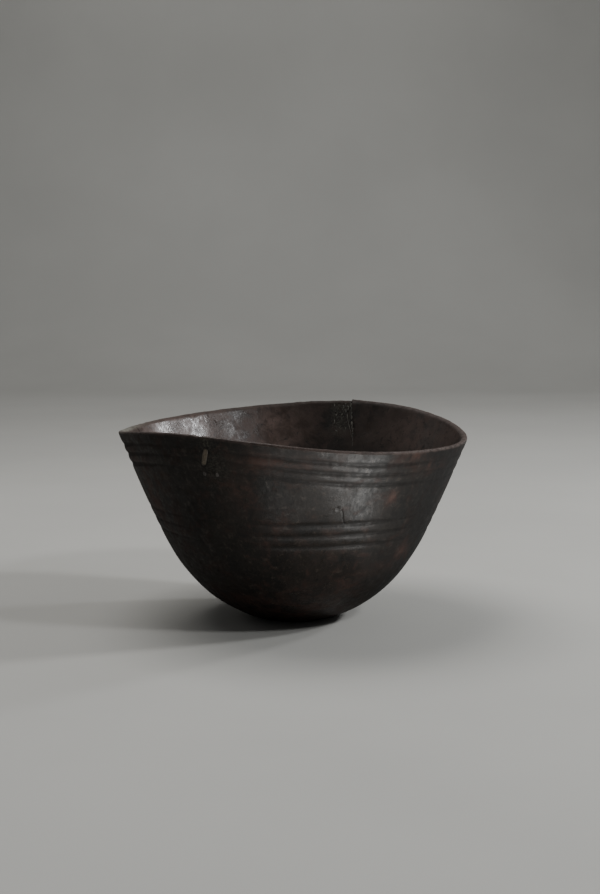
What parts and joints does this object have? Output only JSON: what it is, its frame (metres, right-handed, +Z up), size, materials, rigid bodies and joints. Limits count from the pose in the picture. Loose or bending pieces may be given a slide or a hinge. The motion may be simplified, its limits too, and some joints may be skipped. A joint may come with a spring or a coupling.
{
  "type": "carved wooden bowl",
  "caption": "Deep round-bottomed carved wooden bowl with a warped rim, bands of cut grooves below it, and old repairs let into its wall.",
  "frame": {"origin": "centre of the foot, on the surface that the bowl stands on", "axes": "+Z up out of the bowl; the front, with the repaired split left of the middle, faces -Y; +X is to the right seen from the front"},
  "size_m": [0.3141, 0.321, 0.1808],
  "materials": {
    "dark_wood": "dark stained hardwood, hand rubbed and waxed, low sheen",
    "repair_wood": "mid-brown wood, rubbed dull",
    "filler": "dry grey-brown resin and fibre filler, matt"
  },
  "bodies": {
    "root": {"bowl_body": "dark_wood", "front_crack_inlay": "repair_wood", "front_peg_left": "repair_wood", "front_peg_right": "repair_wood", "back_crack_fill": "filler"}
  },
  "joints": []
}
